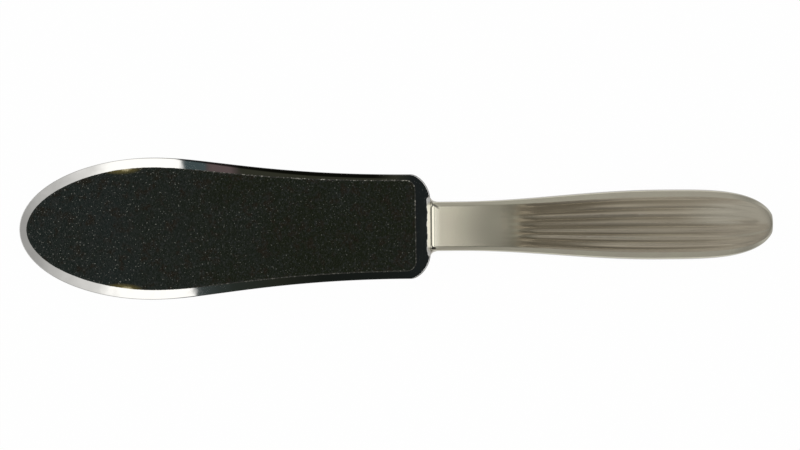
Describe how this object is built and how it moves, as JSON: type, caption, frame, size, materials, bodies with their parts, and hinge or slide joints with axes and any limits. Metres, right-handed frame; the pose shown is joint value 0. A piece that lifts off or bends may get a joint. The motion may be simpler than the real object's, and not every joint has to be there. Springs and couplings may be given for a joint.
{
  "type": "foot file",
  "caption": "Flat steel paddle with an abrasive sheet on each side, welded to a hollow fluted steel handle.",
  "frame": {"origin": "middle of the bounding box, on the paddle's mid-plane and the tool's centre line", "axes": "+X along the tool from the paddle's tip to the handle's butt, +Y across the paddle, +Z out of the front abrasive face"},
  "size_m": [0.25, 0.0472, 0.013],
  "materials": {
    "polished_steel": "mirror-polished stainless steel",
    "satin_steel": "satin stainless steel with a fine lengthways grain",
    "weld_steel": "ground weld",
    "adhesive": "pressure-sensitive adhesive",
    "sheet_backing": "resin-treated backing",
    "coarse_grit": "coarse black silicon carbide grit",
    "fine_grit": "finer black silicon carbide grit"
  },
  "bodies": {
    "root": {"paddle_plate": "polished_steel", "front_adhesive_film": "adhesive", "front_sheet_backing": "sheet_backing", "front_grit_coat": "coarse_grit", "back_adhesive_film": "adhesive", "back_sheet_backing": "sheet_backing", "back_grit_coat": "fine_grit", "front_handle_shell": "satin_steel", "back_handle_shell": "satin_steel", "seam_weld": "weld_steel", "neck_weld": "weld_steel"}
  },
  "joints": []
}
